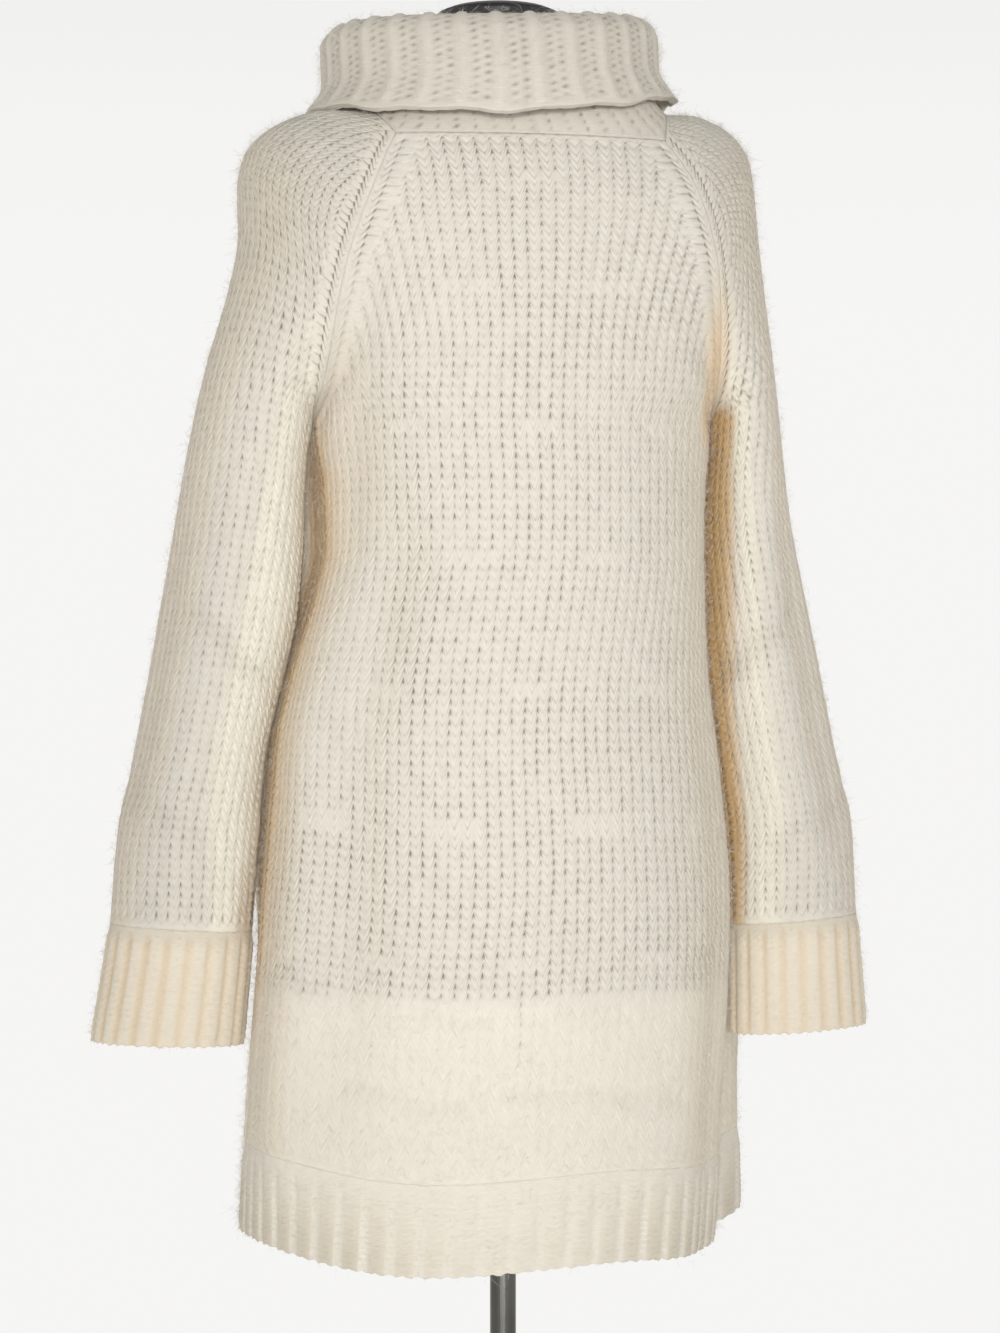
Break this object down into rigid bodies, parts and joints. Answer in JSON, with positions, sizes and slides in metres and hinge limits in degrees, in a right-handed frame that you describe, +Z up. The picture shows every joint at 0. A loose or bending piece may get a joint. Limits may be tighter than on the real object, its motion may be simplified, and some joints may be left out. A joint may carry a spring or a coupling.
{
  "type": "sweater dress on a limbless dress form",
  "caption": "Chunky knitted sweater dress with raglan sleeves, a folded-over ribbed collar, ribbed cuffs and ribbed hem, worn by a limbless dress form on a pole with a round base.",
  "frame": {"origin": "centre of the round base's flat underside, on the axis of the pole", "axes": "+Z up along the pole, -Y towards the front of the dress, +X towards the wearer's left"},
  "size_m": [0.6298, 0.38, 1.4822],
  "materials": {
    "cream_knit": "soft brushed wool, plain stocking stitch",
    "cream_rib": "soft brushed wool, one-by-one rib",
    "form_cover": "black jersey cover, matte",
    "cap_plastic": "black, low sheen",
    "dark_metal": "dark gunmetal, satin"
  },
  "bodies": {
    "root": {"back_panel": "cream_knit", "front_panel": "cream_knit", "sleeve_left": "cream_knit", "sleeve_right": "cream_knit", "cuff_left": "cream_rib", "cuff_right": "cream_rib", "hem_back": "cream_rib", "hem_front": "cream_rib", "collar": "cream_rib", "form_torso": "form_cover", "form_neck_cap": "cap_plastic", "form_socket": "dark_metal", "form_pole": "dark_metal", "form_base": "dark_metal"}
  },
  "joints": []
}
